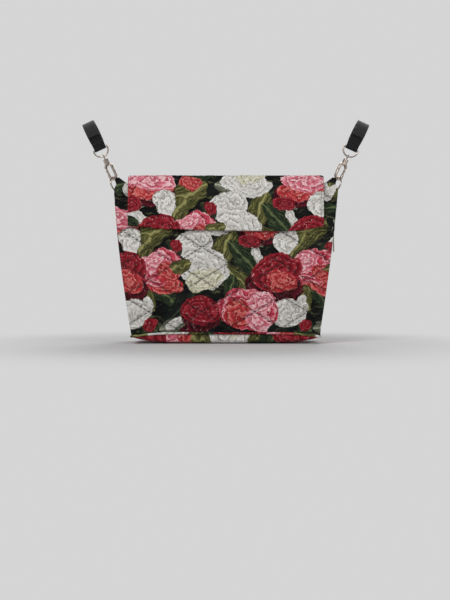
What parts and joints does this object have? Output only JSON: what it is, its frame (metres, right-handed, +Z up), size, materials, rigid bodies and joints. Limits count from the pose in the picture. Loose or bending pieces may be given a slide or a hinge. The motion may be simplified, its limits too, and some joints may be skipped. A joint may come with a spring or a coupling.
{
  "type": "diaper bag",
  "caption": "Quilted floral diaper bag with a folding flap, zipped side pockets and swivel snap hooks on handlebar straps.",
  "frame": {"origin": "centre of the base, on the surface that the bag stands on", "axes": "+Z up, the front and its flap towards -Y, +X along the length of the bag"},
  "size_m": [0.5588, 0.13, 0.431],
  "materials": {
    "printed_fabric": "matte printed polyester, quilted on the front",
    "lining_fabric": "smooth woven lining",
    "black_webbing": "ribbed webbing",
    "hook_and_loop": "matte hook-and-loop tape",
    "zip_tape": "herringbone tape",
    "zip_coil": "moulded coil",
    "board": "stiffening board",
    "nickel": "polished nickel plate",
    "spring_wire": "drawn wire",
    "magnet": "pressed magnetic snap"
  },
  "bodies": {
    "bag": {"front_panel": "printed_fabric", "back_panel": "printed_fabric", "left_gusset": "printed_fabric", "right_gusset": "printed_fabric", "base_panel": "printed_fabric", "base_board": "board", "base_piping": "printed_fabric", "lining": "lining_fabric", "inner_pocket": "lining_fabric", "front_magnets": "magnet", "left_side_pocket": "lining_fabric", "left_zip_tape": "zip_tape", "left_zip_teeth": "zip_coil", "left_webbing_tab": "black_webbing", "right_side_pocket": "lining_fabric", "right_zip_tape": "zip_tape", "right_zip_teeth": "zip_coil", "right_webbing_tab": "black_webbing"},
    "flap_lid": {"flap_top": "printed_fabric"},
    "flap_drop": {"flap_front": "printed_fabric", "flap_magnets": "magnet"},
    "left_ring": {"left_bag_ring": "nickel"},
    "left_hook": {"left_snap_hook": "nickel", "left_gate_pin": "nickel", "left_gate_spring": "spring_wire"},
    "left_gate": {"left_hook_gate": "nickel"},
    "left_swivel": {"left_swivel_eye": "nickel"},
    "left_upper_ring": {"left_strap_ring": "nickel"},
    "left_strap": {"left_handlebar_strap": "black_webbing", "left_strap_closure": "hook_and_loop"},
    "left_slider": {"left_zip_slider": "nickel"},
    "left_pull": {"left_zip_pull": "nickel"},
    "right_ring": {"right_bag_ring": "nickel"},
    "right_hook": {"right_snap_hook": "nickel", "right_gate_pin": "nickel", "right_gate_spring": "spring_wire"},
    "right_gate": {"right_hook_gate": "nickel"},
    "right_swivel": {"right_swivel_eye": "nickel"},
    "right_upper_ring": {"right_strap_ring": "nickel"},
    "right_strap": {"right_handlebar_strap": "black_webbing", "right_strap_closure": "hook_and_loop"},
    "right_slider": {"right_zip_slider": "nickel"},
    "right_pull": {"right_zip_pull": "nickel"}
  },
  "joints": [
    {"name": "flap_fold", "type": "hinge", "parent": "bag", "child": "flap_lid", "pos_m": [0, 0.04605, 0.3083], "axis": [-1, 0, 0], "range_deg": [0, 250]},
    {"name": "flap_crease", "type": "hinge", "parent": "flap_lid", "child": "flap_drop", "pos_m": [0, -0.05554, 0.3083], "axis": [-1, 0, 0], "range_deg": [0, 85]},
    {"name": "left_ring_swing", "type": "hinge", "parent": "bag", "child": "left_ring", "pos_m": [-0.2114, 0.0431, 0.307], "axis": [0.3007, 0, -0.9537], "range_deg": [-52, 60]},
    {"name": "left_hook_tilt", "type": "hinge", "parent": "left_ring", "child": "left_hook", "pos_m": [-0.21904, 0.03759, 0.31979], "axis": [-0.5054, -0.848, -0.1594], "range_deg": [-20, 20]},
    {"name": "left_gate_open", "type": "hinge", "parent": "left_hook", "child": "left_gate", "pos_m": [-0.23505, 0.04157, 0.33892], "axis": [-0.4773, -0.8501, -0.2226], "range_deg": [0, 28], "stiffness_Nm_per_rad": 0.02, "springref_deg": -11.46},
    {"name": "left_swivel_turn", "type": "hinge", "parent": "left_hook", "child": "left_swivel", "pos_m": [-0.23789, 0.03759, 0.36021], "axis": [-0.4226, 0, 0.9063], "continuous": true},
    {"name": "left_upper_ring_rock", "type": "hinge", "parent": "left_swivel", "child": "left_upper_ring", "pos_m": [-0.23789, 0.03759, 0.36021], "axis": [0.9063, 0, 0.4226], "range_deg": [-40, 40]},
    {"name": "left_strap_rock", "type": "hinge", "parent": "left_upper_ring", "child": "left_strap", "pos_m": [-0.24529, 0.03759, 0.37607], "axis": [0.9063, 0, 0.4226], "range_deg": [-60, 60]},
    {"name": "left_zip_travel", "type": "slide", "parent": "bag", "child": "left_slider", "axis": [0, -1, 0], "range_m": [0, 0.066]},
    {"name": "left_pull_lift", "type": "hinge", "parent": "left_slider", "child": "left_pull", "pos_m": [-0.20004, 0.033, 0.20927], "axis": [0, 1, 0], "range_deg": [-10, 150]},
    {"name": "right_ring_swing", "type": "hinge", "parent": "bag", "child": "right_ring", "pos_m": [0.2114, 0.0431, 0.307], "axis": [0.3007, 0, 0.9537], "range_deg": [-52, 60]},
    {"name": "right_hook_tilt", "type": "hinge", "parent": "right_ring", "child": "right_hook", "pos_m": [0.21904, 0.03759, 0.31979], "axis": [-0.5054, 0.848, 0.1594], "range_deg": [-20, 20]},
    {"name": "right_gate_open", "type": "hinge", "parent": "right_hook", "child": "right_gate", "pos_m": [0.23505, 0.04157, 0.33892], "axis": [-0.4773, 0.8501, 0.2226], "range_deg": [0, 28], "stiffness_Nm_per_rad": 0.02, "springref_deg": -11.46},
    {"name": "right_swivel_turn", "type": "hinge", "parent": "right_hook", "child": "right_swivel", "pos_m": [0.23789, 0.03759, 0.36021], "axis": [-0.4226, 0, -0.9063], "continuous": true},
    {"name": "right_upper_ring_rock", "type": "hinge", "parent": "right_swivel", "child": "right_upper_ring", "pos_m": [0.23789, 0.03759, 0.36021], "axis": [0.9063, 0, -0.4226], "range_deg": [-40, 40]},
    {"name": "right_strap_rock", "type": "hinge", "parent": "right_upper_ring", "child": "right_strap", "pos_m": [0.24529, 0.03759, 0.37607], "axis": [0.9063, 0, -0.4226], "range_deg": [-60, 60]},
    {"name": "right_zip_travel", "type": "slide", "parent": "bag", "child": "right_slider", "axis": [0, 1, 0], "range_m": [0, 0.066]},
    {"name": "right_pull_lift", "type": "hinge", "parent": "right_slider", "child": "right_pull", "pos_m": [0.20004, -0.033, 0.20927], "axis": [0, -1, 0], "range_deg": [-10, 150]}
  ],
  "couplings": [
    {"joint": "flap_crease", "follows": "flap_fold", "ratio": 0.34}
  ]
}
